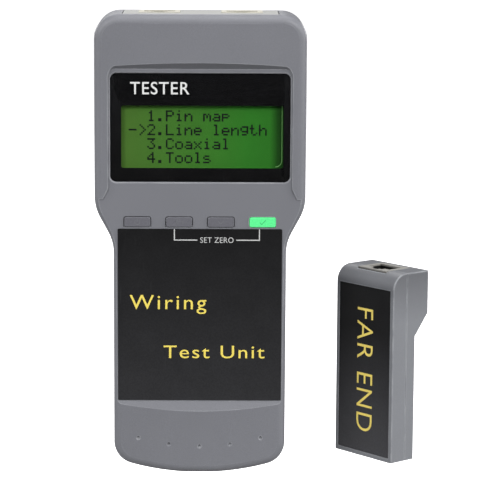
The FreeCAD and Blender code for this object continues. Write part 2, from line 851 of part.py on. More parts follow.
# ---------------------------------------------------------------- keys
rounded_plate(
    "keypad_label", "2 * label_half", "label_high - label_low", "label_thick", "0.4",
    ("0", "- deck_out", "( label_low + label_high ) / 2"),
)
KEYS = ("power", "back", "scroll", "enter")
SWITCH_FRONT = "( board_front + switch_high )"
switches = []
for index, key in enumerate(KEYS):
    x = f"key_pitch * {index - 1.5}"
    cap = rounded_plate(
        f"{key}_cap", "key_wide", "key_high", "key_proud + wall - 0.05", "key_corner",
        (x, "wall - 0.05 - deck_out", "key_level"),
    )
    at_front = is_flat_at(-size("deck_out") - size("key_proud"))
    touch_face = [f"Face{i}" for i, face in enumerate(cap.Shape.Faces, start=1) if at_front(face)]
    corners = cap.Tip
    soft = cap.newObject("PartDesign::Fillet", f"{key}_cap_edge")
    soft.Base = (corners, touch_face)
    bind(soft, "Radius", "key_soft")
    cap.Tip = soft
    flange = block(
        f"{key}_flange", (f"{x} - key_wide / 2 - 0.8", f"{x} + key_wide / 2 + 0.8"),
        ("wall - deck_out + 0.05", "wall - deck_out + 0.05 + key_flange"),
        ("key_level - key_high / 2 - 0.8", "key_level + key_high / 2 + 0.8"),
    )
    neck = block(
        f"{key}_neck", (f"{x} - key_wide / 2 + 0.3", f"{x} + key_wide / 2 - 0.3"),
        ("wall - deck_out - 0.5", "wall - deck_out + 0.4"),
        ("key_level - key_high / 2 + 0.3", "key_level + key_high / 2 - 0.3"),
    )
    stem = rod(
        f"{key}_stem", "key_stem", x, "wall - deck_out + key_flange", "key_level",
        f"( deck_out - wall - key_flange ) - ( {SWITCH_FRONT} + plunger_out )",
    )
    joined(f"{key}_key", [cap, neck, flange, stem])
    rod(
        f"{key}_plunger", "plunger", x, f"- {SWITCH_FRONT} - plunger_out", "key_level", "plunger_out + 1.2"
    )
    can = block(
        f"{key}_switch_can", (f"{x} - switch_wide / 2", f"{x} + switch_wide / 2"),
        (f"- {SWITCH_FRONT}", "- board_front"),
        ("key_level - switch_wide / 2", "key_level + switch_wide / 2"),
    )
    well = rod(f"{key}_switch_well", "plunger + 0.08", x, f"- {SWITCH_FRONT} - 1", "key_level", "3")
    switches.append(without(f"{key}_switch", can, well))
group("key_switches", switches)

# ---------------------------------------------------------------- main board and what it carries
BOARD = ("- board_front", "board_thick - board_front")
board_parts = [
    block("board_head", ("- board_half", "board_half"), BOARD, ("board_step_low", "board_step_high")),
    block("board_low_part", ("- board_low_half", "board_low_half"), BOARD, ("board_low", "board_step_low + 1")),
    block("board_top_part", ("- board_top_half", "board_top_half"), BOARD, ("board_step_high - 1", "board_high")),
]
drilled("main_board", joined("board_blank", board_parts), board_posts(), "small_screw + 0.2")

BEHIND = "board_thick - board_front"
ON_BOARD = f"{BEHIND} + rest"
chip_body = block(
    "chip_body", ("- chip_half", "chip_half"), (f"{BEHIND} + chip_stand", f"{BEHIND} + chip_top"),
    ("chip_middle - chip_half", "chip_middle + chip_half"),
)
chip_legs = []
for i in range(-5, 6):
    along = (f"leg_pitch * {i} - leg_wide / 2", f"leg_pitch * {i} + leg_wide / 2")
    depth = (ON_BOARD, f"{BEHIND} + leg_thick")
    for reach in (("- leg_reach", "- leg_root"), ("leg_root", "leg_reach")):
        end = len(chip_legs)
        over = [f"chip_middle + ( {edge} )" for edge in along]
        chip_legs.append(block(f"chip_leg_{end}", reach, depth, over))
        over = [f"chip_middle + ( {edge} )" for edge in reach]
        chip_legs.append(block(f"chip_leg_{end + 1}", along, depth, over))
joined("processor_chip", [chip_body] + chip_legs)
rounded_plate(
    "crystal", "crystal_long", "crystal_wide", "crystal_high", "crystal_round",
    ("crystal_x", f"{ON_BOARD} + crystal_high", "crystal_level"),
)
cans = []
for i in range(2):
    level = f"capacitor_level + {i} * capacitor_step"
    cans.append(rod(f"capacitor_{i}", "capacitor", "capacitor_x", ON_BOARD, level, "capacitor_high"))
group("capacitors", cans)

TRIMMER_BOX = [(f"{middle} - trimmer_half", f"{middle} + trimmer_half") for middle in ("trimmer_x", "trimmer_level")]
trimmer_can = block("trimmer_can", TRIMMER_BOX[0], (ON_BOARD, f"{BEHIND} + trimmer_high"), TRIMMER_BOX[1])
trimmer_well = rod(
    "trimmer_well", "trimmer_well", "trimmer_x", f"{BEHIND} + trimmer_floor", "trimmer_level", "trimmer_high"
)
without("contrast_trimmer", trimmer_can, trimmer_well)
ROTOR_FOOT = f"{BEHIND} + trimmer_floor + rotor_gap"
rotor_disc = rod("rotor_disc", "rotor", "trimmer_x", ROTOR_FOOT, "trimmer_level", "rotor_high")
rotor_slot = block(
    "rotor_slot_cut", ("trimmer_x - trimmer_half", "trimmer_x + trimmer_half"),
    (f"{ROTOR_FOOT} + rotor_high - 2 * rotor_slot", f"{ROTOR_FOOT} + 2 * rotor_high"),
    ("trimmer_level - rotor_slot", "trimmer_level + rotor_slot"),
)
without("trimmer_rotor", rotor_disc, rotor_slot)


# ---------------------------------------------------------------- screws and rear label
def screw_shape(radius, head, head_high, reach):
    """A cross-head screw along -Y, with the underside of its head at y = 0."""
    solid = Part.makeCylinder(radius, reach - radius, V(0, 0, 0), V(0, -1, 0))
    solid = solid.fuse(Part.makeCone(radius, 0.2, radius, V(0, -(reach - radius), 0), V(0, -1, 0)))
    cap = Part.makeCylinder(head, head_high, V(0, 0, 0), V(0, 1, 0))
    cap = cap.makeFillet(head_high * 0.5, [e for e in cap.Edges if e.CenterOfMass.y > head_high * 0.9])
    solid = solid.fuse(cap)
    arm, slot = head * 0.62, head * 0.16
    for x, z in ((arm, slot), (slot, arm)):
        solid = solid.cut(box_shape((-x, x), (head_high * 0.4, head_high + 1), (-z, z)))
    return solid.removeSplitter()


def screws(name, shape, places, seat_y):
    """The same screw at each (x, z), its head's underside at seat_y."""
    copies = []
    for x, z in places:
        copy = shape.copy()
        copy.translate(V(x, seat_y, z))
        copies.append(copy)
    return feature(name, Part.makeCompound(copies))


case_screw = screw_shape(size("screw"), size("screw_head"), size("screw_head_high"), 14.0)
screws("case_screws", case_screw, case_posts(), size("sink_floor"))
board_screw = screw_shape(size("small_screw"), size("small_head"), size("small_head_high"), 5.0)
board_seat = size("board_thick") - size("board_front")
screws("board_screws", board_screw, board_posts(), board_seat)
lcd_screw = screw_shape(size("small_screw"), size("small_head"), size("small_head_high"), 4.5)
screws("lcd_screws", lcd_screw, lcd_posts(), size("lcd_board_thick") - size("lcd_board_front"))
rounded_plate(
    "rear_label", "2 * plate_half", "plate_high - plate_low", "plate_thick", "1.5",
    ("0", "back_out - plate_sunk + plate_thick", "( plate_low + plate_high ) / 2"),
)


# ---------------------------------------------------------------- power
def cell_shape():
    """An AA cell standing on its flat end at z = 0, with the nub at the top."""
    radius, nub = size("cell"), size("nub")
    long, nub_high = size("cell_long"), size("nub_high")
    profile = [
        (0, 0), (radius - 1.2, 0), (radius - 1.2, 0.25), (radius - 0.3, 0.25), (radius, 0.6),
        (radius, long - nub_high - 0.6), (radius - 0.4, long - nub_high - 0.2),
        (nub + 0.5, long - nub_high - 0.2), (nub + 0.3, long - nub_high),
        (nub, long - nub_high), (nub, long - 0.3), (nub - 0.3, long), (0, long),
    ]
    points = [V(x, 0, z) for x, z in profile]
    return Part.Face(Part.makePolygon(points + points[:1])).revolve(V(0, 0, 0), V(0, 0, 1), 360)


def spring_shape(high):
    """A tapering contact spring of this height, the middle of its first wire at z = 0."""
    wire, turns = size("spring_wire"), 4
    low_ring, top_ring = size("spring_low"), size("spring_top")
    lean = math.degrees(math.atan2(top_ring - low_ring, high - 2 * wire))
    spine = Part.Wire(Part.makeLongHelix((high - 2 * wire) / turns, high - 2 * wire, low_ring, lean))
    first = spine.Edges[0]
    start, along = first.valueAt(first.FirstParameter), first.tangentAt(first.FirstParameter)
    circle = Part.Wire(Part.makeCircle(wire, start, along))
    return spine.makePipeShell([circle], True, True)


bay_low, bay_high = size("bay_low"), size("bay_high")
leaf, leaf_half = size("leaf_thick"), size("leaf_half")
spring_space = bay_high - bay_low - size("cell_long") - leaf - 0.1
springs, leaves = [], []
for i in range(4):
    x = size("cell_pitch") * (i - 1.5)
    upright = i % 2 == 0
    middle = V(x, size("cell_level"), 0)
    spin = FreeCAD.Rotation() if upright else FreeCAD.Rotation(V(1, 0, 0), 180)
    seat = bay_low + spring_space if upright else bay_high - spring_space
    feature(f"battery_{i + 1}", cell_shape(), FreeCAD.Placement(middle + V(0, 0, seat), spin))
    coil = spring_shape(spring_space - 0.1)
    foot = size("spring_wire") + 0.05
    coil.Placement = FreeCAD.Placement(middle + V(0, 0, bay_low + foot if upright else bay_high - foot), spin)
    springs.append(coil)
    leaf_low = bay_high - leaf - 0.02 if upright else bay_low + 0.02
    across, deep = (x - leaf_half, x + leaf_half), (middle.y - leaf_half, middle.y + leaf_half)
    leaves.append(box_shape(across, deep, (leaf_low, leaf_low + leaf)))
feature("battery_springs", Part.makeCompound(springs))
feature("battery_plates", Part.makeCompound(leaves))


def lead_shape(side):
    """A wire from the top of the battery bay to the back of the main board."""
    x = side * 1.5 * size("cell_pitch")
    start = V(x, 3.0, bay_high + size("bay_wall") + 0.15)
    end = V(side * size("lead_x"), board_seat + 0.25, size("board_low") + 8)
    path = Part.BSplineCurve()
    path.interpolate(
        Points=[start, V(x, 2.5, start.z + 6), V((x + end.x) / 2, 1.2, end.z - 4), V(end.x, end.y + 1.6, end.z), end],
    )
    spine = Part.Wire(path.toShape())
    circle = Part.Wire(Part.makeCircle(size("lead"), start, path.tangent(path.FirstParameter)[0]))
    return spine.makePipeShell([circle], True, True)


feature("battery_leads", Part.makeCompound([lead_shape(-1), lead_shape(1)]))

# ---------------------------------------------------------------- remote
REMOTE = FreeCAD.Placement(
    V(size("far_x"), size("far_y"), 0), FreeCAD.Rotation(V(0, 0, 1), size("far_turn"))
)


def remote_solid(inset):
    """The remote's outer form pulled in by inset: front at y = 0, width along X."""
    half = size("far_half") - inset
    low, tall = inset, size("far_tall") - inset
    bend = size("far_round")
    thin, thick = size("far_thin") - inset, size("far_thick") - inset
    run = V(0, size("far_thick") - size("far_thin"), size("far_bulge") - size("far_slope"))
    normal = V(0, run.z, -run.y).normalize()
    level = normal.dot(V(0, size("far_thick"), size("far_bulge"))) - inset
    bulge_z = (level - normal.y * thick) / normal.z
    slope_z = (level - normal.y * thin) / normal.z
    front_top = V(-half, inset, tall + inset - bend)
    mid = (bend - inset) * math.sqrt(0.5)
    arc_mid = V(-half, bend - mid, tall + inset - bend + mid)
    top_front = V(-half, bend, tall)
    rest = [
        top_front, V(-half, thick, tall), V(-half, thick, bulge_z), V(-half, thin, slope_z),
        V(-half, thin, low), V(-half, inset, low), front_top,
    ]
    edges = [Part.Arc(front_top, arc_mid, top_front).toShape()]
    for start, end in zip(rest, rest[1:]):
        edges.append(Part.LineSegment(start, end).toShape())
    return Part.Face(Part.Wire(edges)).extrude(V(2 * half, 0, 0))


def remote_outer():
    """The remote's outside, with its long side edges rounded over."""
    solid = remote_solid(0)
    half = size("far_half")
    edges = [e for e in solid.Edges if abs(abs(e.CenterOfMass.x) - half) < 1e-4]
    return solid.makeFillet(size("far_edge"), edges)


def remote_part(y_low, y_high):
    """The hollow remote between two depths, with the socket's opening in its top."""
    window = box_shape((-BEYOND, BEYOND), (y_low, y_high), (-BEYOND, 2 * BEYOND))
    shell = remote_outer().common(window)
    seam_edges = [e for f in shell.Faces if is_flat_at(size("far_split"))(f) for e in f.OuterWire.Edges]
    shell = shell.makeChamfer(size("seam") * 0.75, seam_edges)
    shell = shell.cut(remote_solid(size("far_wall")))
    half = size("port_wide") / 2 + size("fit_gap")
    front = size("far_board_front") + size("far_board_thick")
    mouth = (front - size("fit_gap"), front + size("port_high") + size("fit_gap"))
    return shell.cut(box_shape((-half, half), mouth, (size("far_tall") - 5, size("far_tall") + PAST)))


def remote_posts():
    """(x, z) of the remote's screws."""
    return [(0.0, size("far_post_level"))]


def remote_front():
    split = size("far_split")
    shell = remote_part(-PAST, split)
    half = size("far_label_half") + size("fit_gap")
    low, high = size("far_label_low") - size("fit_gap"), size("far_label_high") + size("fit_gap")
    floor = size("far_label_sunk") + size("far_wall")
    backing = box_shape((-half - BITE, half + BITE), (BITE, floor), (low - BITE, high + BITE))
    shell = shell.fuse(backing.common(remote_solid(BITE)))
    shell = shell.cut(box_shape((-half, half), (-PAST, size("far_label_sunk")), (low, high)))
    for x, z in remote_posts():
        shell = shell.fuse(rod_shape(size("small_post") + 0.6, x, z, floor - BITE, split))
        shell = shell.cut(rod_shape(size("small_screw") + size("screw_gap"), x, z, floor, split + PAST))
    return shell.removeSplitter()


def remote_rear():
    split, thin = size("far_split"), size("far_thin")
    shell = remote_part(split, BEYOND)
    for x, z in remote_posts():
        shell = shell.fuse(rod_shape(size("small_post") + 0.8, x, z, split, thin - BITE))
        shell = shell.cut(rod_shape(size("small_screw") + 0.2, x, z, split - PAST, thin + PAST))
        shell = shell.cut(rod_shape(size("small_head") + 0.4, x, z, thin - size("far_sink"), thin + PAST))
    return shell.removeSplitter()


feature("remote_front_shell", remote_front(), REMOTE)
feature("remote_rear_shell", remote_rear(), REMOTE)

far_board = box_shape(
    (-size("far_board_half"), size("far_board_half")),
    (size("far_board_front"), size("far_board_front") + size("far_board_thick")),
    (size("far_board_low"), size("far_board_high")),
)
for post_x, post_z in remote_posts():
    far_board = far_board.cut(rod_shape(size("small_post") + 1.0, post_x, post_z, 0, BEYOND))
feature("remote_board", far_board, REMOTE)

FAR_BACK = size("far_board_front") + size("far_board_thick")
port_seat = REMOTE.multiply(
    FreeCAD.Placement(V(0, FAR_BACK, size("far_tall") + size("port_proud") / 2), FreeCAD.Rotation())
)
for piece in (port_housing("remote_port_housing"), port_contacts("remote_port_contacts")):
    piece.Placement = port_seat

diodes = []
for i in range(8):
    x, z = size("diode_step") * (i % 4 - 1.5), size("diode_level") + size("diode_row") * (i // 4)
    bars = []
    for radius, long in ((size("diode"), size("diode_long")), (size("diode_lead"), size("diode_lead_long"))):
        bars.append(Part.makeCylinder(radius, long, V(x, FAR_BACK + size("diode_stand"), z - long / 2)))
    diodes.append(bars[0].fuse(bars[1]))
feature("remote_diodes", Part.makeCompound(diodes), REMOTE)

remote_screw = screw_shape(size("small_screw"), size("small_head"), size("small_head_high"), size("far_screw_long"))
screw_x, screw_z = remote_posts()[0]
screw_seat = FreeCAD.Placement(V(screw_x, size("far_thin") - size("far_sink"), screw_z), FreeCAD.Rotation())
feature("remote_screw", remote_screw, REMOTE.multiply(screw_seat))

far_label = rounded_box(
    size("far_label_half"), size("far_label_low"), size("far_label_high"), 0.3,
    size("far_label_sunk") - size("far_label_thick"), size("far_label_sunk"),
)
feature("remote_label", far_label, REMOTE)

# ---------------------------------------------------------------- check and export
NODES = [
    "front_shell", "rear_shell", "battery_door", "end_panel",
    "port_1_housing", "port_1_contacts", "port_2_housing", "port_2_contacts",
    "display_window", "window_mask", "lcd_bezel", "lcd_glass", "lcd_backlight", "lcd_board", "lcd_header",
    "keypad_label", "key_switches", "main_board", "processor_chip", "crystal", "capacitors",
    "contrast_trimmer", "trimmer_rotor", "case_screws", "board_screws", "lcd_screws", "rear_label",
    "battery_1", "battery_2", "battery_3", "battery_4", "battery_springs", "battery_plates", "battery_leads",
    "remote_front_shell", "remote_rear_shell", "remote_board", "remote_port_housing",
    "remote_port_contacts", "remote_diodes", "remote_screw", "remote_label",
]
for key in KEYS:
    NODES += [f"{key}_key", f"{key}_plunger"]

doc.recompute()
faults = []
for thing in doc.Objects:
    if {"Invalid", "Error"} & set(thing.State):
        faults.append(f"{thing.Name}: {thing.State}")
for node in NODES:
    part = doc.getObject(node)
    part.Label = node
    if part.Shape.isNull() or not part.Shape.isValid() or not part.Shape.Solids:
        faults.append(f"{node}: its shape is null or invalid")
if faults:
    raise SystemExit("\n".join(faults))

os.makedirs("parts", exist_ok=True)
for node in NODES:
    doc.getObject(node).Shape.exportStep(f"parts/{node}.step")
print(len(NODES), "nodes written")
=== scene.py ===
"""The looks of a hand-held cable tester and its remote end unit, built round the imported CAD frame.

Lengths are in metres, in the CAD's own frame: +Z up the tester, -Y out of its front, +X to the right.
The CAD nodes keep their shapes and get their finishes here. Print, key marks and display characters
are thin pieces made here, each placed on the flat face of the CAD node that carries it.
"""

import json
import math

import bmesh
import bpy
from mathutils import Matrix, Vector


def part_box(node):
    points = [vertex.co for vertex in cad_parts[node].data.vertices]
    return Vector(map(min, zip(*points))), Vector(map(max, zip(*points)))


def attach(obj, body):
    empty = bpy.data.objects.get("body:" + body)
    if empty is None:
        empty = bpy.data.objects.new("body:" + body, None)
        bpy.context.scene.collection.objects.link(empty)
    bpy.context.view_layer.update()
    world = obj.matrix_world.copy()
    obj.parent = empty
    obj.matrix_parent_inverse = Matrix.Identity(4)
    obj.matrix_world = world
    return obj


MM = 0.001
FRONT = Vector((0, -1, 0))
BACK = Vector((0, 1, 0))
UP = Vector((0, 0, 1))

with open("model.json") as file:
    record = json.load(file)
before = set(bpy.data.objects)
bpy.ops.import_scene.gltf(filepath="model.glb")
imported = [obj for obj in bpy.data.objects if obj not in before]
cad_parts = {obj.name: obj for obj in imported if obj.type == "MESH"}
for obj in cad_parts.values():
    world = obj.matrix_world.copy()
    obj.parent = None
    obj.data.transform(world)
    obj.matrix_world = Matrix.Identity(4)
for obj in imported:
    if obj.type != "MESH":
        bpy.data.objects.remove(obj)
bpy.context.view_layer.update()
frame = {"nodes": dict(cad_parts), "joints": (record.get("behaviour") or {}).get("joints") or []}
nodes = frame["nodes"]


def srgb(red, green, blue):
    """A colour given as 0 to 255 screen values, as linear light."""
    linear = []
    for part in (red, green, blue):
        c = part / 255
        linear.append(c / 12.92 if c <= 0.04045 else ((c + 0.055) / 1.055) ** 2.4)
    return (*linear, 1.0)


# ------------------------------------------------------------------ finishes
class Finish:
    """A Principled material built up in procedural layers. Layer sizes and depths are in millimetres."""

    def __init__(self, name, colour, rough, metal=0.0, shine=0.5):
        self.material = bpy.data.materials.new(name)
        self.material.use_nodes = True
        self.tree = self.material.node_tree
        self.shader = self.tree.nodes["Principled BSDF"]
        self.at = self.node("ShaderNodeTexCoord").outputs["Object"]
        paint = self.node("ShaderNodeRGB")
        paint.outputs[0].default_value = colour
        self.colour = paint.outputs[0]
        flat = self.node("ShaderNodeValue")
        flat.outputs[0].default_value = rough
        self.rough = flat.outputs[0]
        self.normal = None
        self.shader.inputs["Metallic"].default_value = metal
        self.shader.inputs["Specular IOR Level"].default_value = shine

    def node(self, kind, **settings):
        made = self.tree.nodes.new(kind)
        for key, value in settings.items():
            setattr(made, key, value)
        return made

    def feed(self, socket, source):
        if isinstance(source, bpy.types.NodeSocket):
            self.tree.links.new(source, socket)
        else:
            socket.default_value = source

    def noise(self, size, detail=2.0, stretch=(1, 1, 1)):
        """Noise from 0 to 1 whose features are about this size across, drawn out along an axis by stretch."""
        scaled = self.node("ShaderNodeVectorMath", operation="MULTIPLY")
        self.feed(scaled.inputs[0], self.at)
        scaled.inputs[1].default_value = [1 / (size * MM * s) for s in stretch]
        made = self.node("ShaderNodeTexNoise")
        self.feed(made.inputs["Vector"], scaled.outputs[0])
        made.inputs["Scale"].default_value = 1.0
        made.inputs["Detail"].default_value = detail
        return made.outputs[0]

    def ramp(self, source, low, high, to_low=0.0, to_high=1.0):
        made = self.node("ShaderNodeMapRange")
        self.feed(made.inputs["Value"], source)
        for key, value in (("From Min", low), ("From Max", high), ("To Min", to_low), ("To Max", to_high)):
            made.inputs[key].default_value = value
        return made.outputs[0]

    def along(self, axis, low, high, coordinates="Object"):
        """0 to 1 along an axis, between two places in millimetres or two shares of the piece's own box."""
        place = self.node("ShaderNodeTexCoord").outputs[coordinates]
        split = self.node("ShaderNodeSeparateXYZ")
        self.feed(split.inputs[0], place)
        unit = MM if coordinates == "Object" else 1.0
        return self.ramp(split.outputs[axis], low * unit, high * unit)

    def mix(self, amount, first, second):
        made = self.node("ShaderNodeMix", data_type="RGBA")
        self.feed(made.inputs[0], amount)
        self.feed(made.inputs[6], first)
        self.feed(made.inputs[7], second)
        return made.outputs[2]

    def times(self, first, second):
        made = self.node("ShaderNodeMath", operation="MULTIPLY")
        self.feed(made.inputs[0], first)
        self.feed(made.inputs[1], second)
        return made.outputs[0]

    def layer(self, amount, colour, rough=None):
        """Lays another colour over this one by an amount from 0 to 1."""
        self.colour = self.mix(amount, self.colour, colour)
        if rough is not None:
            made = self.node("ShaderNodeMix", data_type="FLOAT")
            self.feed(made.inputs[0], amount)
            self.feed(made.inputs[2], self.rough)
            self.feed(made.inputs[3], rough)
            self.rough = made.outputs[0]
        return self

    def mottle(self, size, amount, detail=2.0, stretch=(1, 1, 1)):
        """Lightens and darkens the colour in patches."""
        share = self.ramp(self.noise(size, detail, stretch), 0.3, 0.7, 1 - amount, 1 + amount)
        scaled = self.node("ShaderNodeVectorMath", operation="SCALE")
        self.feed(scaled.inputs[0], self.colour)
        self.feed(scaled.inputs["Scale"], share)
        self.colour = scaled.outputs[0]
        return self

    def polish(self, size, amount, detail=2.0):
        """Varies the roughness in patches."""
        share = self.ramp(self.noise(size, detail), 0.3, 0.7, -amount, amount)
        made = self.node("ShaderNodeMath", operation="ADD", use_clamp=True)
        self.feed(made.inputs[0], self.rough)
        self.feed(made.inputs[1], share)
        self.rough = made.outputs[0]
        return self

    def grain(self, size, depth, detail=2.0, stretch=(1, 1, 1)):
        """Raises the surface in a fine texture."""
        made = self.node("ShaderNodeBump")
        made.inputs["Strength"].default_value = 1.0
        made.inputs["Distance"].default_value = depth * MM
        self.feed(made.inputs["Height"], self.noise(size, detail, stretch))
        if self.normal is not None:
            self.feed(made.inputs["Normal"], self.normal)
        self.normal = made.outputs[0]
        return self

    def edge_wear_and_highlight(self, width, colour, amount=0.6, patch=6.0, start=0.995, full=0.9):
        """A lighter, patchy line along every sharp edge: partly rubbed by use, partly a painted highlight.

        start and full are how closely the true and the rounded normals agree where it starts and is complete.
        """
        rounded = self.node("ShaderNodeBevel", samples=4)
        rounded.inputs["Radius"].default_value = width * MM
        true = self.node("ShaderNodeNewGeometry").outputs["Normal"]
        turn = self.node("ShaderNodeVectorMath", operation="DOT_PRODUCT")
        self.feed(turn.inputs[0], rounded.outputs[0])
        self.feed(turn.inputs[1], true)
        edge = self.ramp(turn.outputs["Value"], start, full)
        patches = self.ramp(self.noise(patch, 4.0), 0.35, 0.65, 0.25 * amount, amount)
        return self.layer(self.times(edge, patches), colour)

    def scuffs(self, size, colour, amount, stretch=(1, 1, 14)):
        """A few faint drawn-out marks."""
        marks = self.ramp(self.noise(size, 1.0, stretch), 0.7, 0.76)
        places = self.ramp(self.noise(24.0, 1.0), 0.5, 0.7, 0.0, amount)
        return self.layer(self.times(marks, places), colour)

    def glow(self, strength):
        self.shader.inputs["Emission Strength"].default_value = strength
        self.feed(self.shader.inputs["Emission Color"], self.colour)
        return self

    def done(self):
        self.feed(self.shader.inputs["Base Color"], self.colour)
        self.feed(self.shader.inputs["Roughness"], self.rough)
        if self.normal is not None:
            self.feed(self.shader.inputs["Normal"], self.normal)
        return self.material


def case_plastic(name, colour, edge=0.5, painted_top_shade=None):
    """Spark-textured grey moulding with a faint metallic fleck, its edges and creases lighter: partly rubbed
    by use, partly a painted highlight.

    edge is the width of the lighter edges, and the last argument is where a painted shade over the top end
    begins and ends.
    """
    made = Finish(name, colour, 0.46, shine=0.45)
    # Painted shade: the top end darkened towards its top, where less light falls.
    if painted_top_shade:
        made.layer(made.ramp(made.along(2, *painted_top_shade), 0.0, 1.0, 0.0, 0.55), srgb(64, 65, 70))
    made.mottle(0.28, 0.07, 1.0).mottle(34.0, 0.025).polish(9.0, 0.04)
    # Lighter lines along the edges, and with the finer second pass along the creases: partly rubbed by use,
    # partly a painted highlight.
    made.edge_wear_and_highlight(edge, srgb(176, 178, 182), 0.5)
    made.edge_wear_and_highlight(0.5, srgb(176, 178, 182), 0.45, start=0.9992, full=0.997)
    return made.grain(0.32, 0.012, 1.0).grain(60.0, 0.05).done()


def key_plastic(name, colour, glow=0.0):
    """Hard keycap plastic with a coarser, speckled texture."""
    made = Finish(name, colour, 0.42, shine=0.5)
    # The lighter line along the key edges is partly rubbed by use, partly a painted highlight.
    made.mottle(0.45, 0.1, 2.0).polish(2.0, 0.08).edge_wear_and_highlight(0.25, srgb(196, 199, 204), 0.45, 2.0)
    # A painted glow: the key shines though no lamp lights it.
    if glow:
        made.glow(glow)
    return made.grain(0.4, 0.03, 1.0).done()


def printed_black(name, top, bottom, low, high):
    """Satin black printed film, with painted reflection and shade grading it from its top colour to its
    bottom one between two heights.
    """
    made = Finish(name, top, 0.36, shine=0.16)
    # The grade is painted light, reflection and shade, laid over the print's one black.
    made.layer(made.along(2, high, low), bottom)
    made.mottle(0.5, 0.12, 1.0).mottle(14.0, 0.06).polish(7.0, 0.05)
    made.scuffs(0.7, srgb(78, 78, 80), 0.12)
    return made.grain(0.22, 0.004, 1.0).done()


def matt_ink_and_shade(name, colour):
    """Matt flat colour: printing ink, and also the painted shade lines round the keys."""
    made = Finish(name, colour, 0.5, shine=0.3)
    return made.mottle(0.5, 0.05).mottle(3.0, 0.04).grain(0.15, 0.004).done()


def metal(name, colour, rough, stretch=(1, 1, 1), grain=0.2):
    """Bright metal, brushed along the axis that stretch draws out."""
    made = Finish(name, colour, rough, metal=1.0)
    made.mottle(1.5, 0.08, 3.0, stretch).polish(1.2, 0.08).edge_wear_and_highlight(0.12, srgb(235, 235, 235), 0.3, 1.5)
    return made.grain(grain, 0.004, 2.0, stretch).done()


def moulded(name, colour, rough=0.5, fleck=0.06, size=0.4):
    """Plain moulded engineering plastic."""
    made = Finish(name, colour, rough)
    made.mottle(size, fleck, 2.0).mottle(6.0, 0.04).polish(3.0, 0.05)
    made.edge_wear_and_highlight(0.15, srgb(215, 213, 208), 0.2, 1.5)
    return made.grain(0.3, 0.01, 1.0).done()


def socket_plastic(name, colour):
    """Moulding that shows its colour round the mouth of a socket and falls into black shade below it."""
    made = Finish(name, colour, 0.48)
    made.mottle(0.5, 0.12).mottle(6.0, 0.04)
    made.layer(made.along(2, 0.972, 0.955, "Generated"), srgb(10, 10, 10))
    return made.grain(0.3, 0.01, 1.0).done()


def circuit_board(name):
    """Green solder mask over copper tracks, with a glass weave under it."""
    made = Finish(name, srgb(24, 84, 48), 0.35)
    tracks = made.node("ShaderNodeTexBrick")
    scaled = made.node("ShaderNodeVectorMath", operation="MULTIPLY")
    made.feed(scaled.inputs[0], made.at)
    scaled.inputs[1].default_value = (420, 0, 420)
    turned = made.node("ShaderNodeMapping")
    made.feed(turned.inputs["Vector"], scaled.outputs[0])
    turned.inputs["Rotation"].default_value = (math.radians(90), 0, 0)
    made.feed(tracks.inputs["Vector"], turned.outputs[0])
    tracks.inputs["Mortar Size"].default_value = 0.05
    made.layer(made.ramp(tracks.outputs["Fac"], 0.4, 0.6, 0.0, 0.6), srgb(52, 128, 70))
    return made.mottle(0.5, 0.06).mottle(9.0, 0.06).grain(0.5, 0.01).done()


def cell_sleeve(name, upright):
    """A plain two-colour battery sleeve between bright metal ends."""
    made = Finish(name, srgb(38, 41, 46), 0.32)
    low, high = (0.0, 1.0) if upright else (1.0, 0.0)

    def share(start, end):
        return low + (high - low) * start, low + (high - low) * end

    made.layer(made.along(2, *share(0.715, 0.717), "Generated"), srgb(186, 122, 58), 0.28)
    made.layer(made.along(2, *share(0.955, 0.957), "Generated"), srgb(200, 200, 202), 0.3)
    made.layer(made.along(2, *share(0.022, 0.020), "Generated"), srgb(200, 200, 202), 0.3)
    made.mottle(2.0, 0.04).mottle(14.0, 0.05).scuffs(0.5, srgb(150, 150, 150), 0.4)
    return made.grain(1.2, 0.004).done()


def wire_insulation(name):
    """Glossy wire insulation, red on the left lead and black on the right one."""
    made = Finish(name, srgb(158, 22, 20), 0.34)
    made.layer(made.along(0, -0.5, 0.5), srgb(22, 22, 24))
    return made.mottle(3.0, 0.06).grain(0.6, 0.01).done()


def display_green(name, low, high):
    """The lit green film of a character display, greyer towards its left end and darkened at its right end by
    a painted shadow of the bezel.
    """
    made = Finish(name, srgb(48, 118, 38), 0.4, shine=0.1)
    made.layer(made.ramp(made.along(0, high - 16, low), 0.0, 1.0, 0.0, 0.55), srgb(94, 110, 54))
    # Painted shadow of the bezel falling over the right end of the film.
    made.layer(made.ramp(made.along(0, high - 7.6, high - 4.6), 0.0, 1.0, 0.0, 0.85), srgb(24, 56, 20))
    return made.mottle(18.0, 0.05).mottle(0.6, 0.02, 0.0).grain(2.0, 0.002).done()


def clear_window(name):
    """Clear acrylic: it passes what is behind it and adds a faint reflection and a few fine scratches."""
    made = Finish(name, srgb(30, 31, 31), 0.08, shine=0.15)
    made.polish(12.0, 0.03).grain(30.0, 0.01)
    marks = made.ramp(made.noise(0.5, 1.0, (18, 1, 1)), 0.72, 0.8, 0.012, 0.035)
    made.feed(made.shader.inputs["Alpha"], marks)
    return made.done()


def span(node):
    """A node's lowest and highest corners in millimetres."""
    low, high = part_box(node)
    return low / MM, high / MM


glass_low, glass_high = span("lcd_glass")
pane_low, pane_high = span("display_window")
pad_low, pad_high = span("keypad_label")
far_low, far_high = span("remote_label")
far_top = span("remote_front_shell")[1].z
# Length in millimetres of the painted shade over the remote's top end.
FAR_TOP_SHADE_LENGTH = 20
# The remote label keeps its top black this many millimetres below its top; below that a painted reflection
# grades it lighter.
FAR_LABEL_EVEN = 17

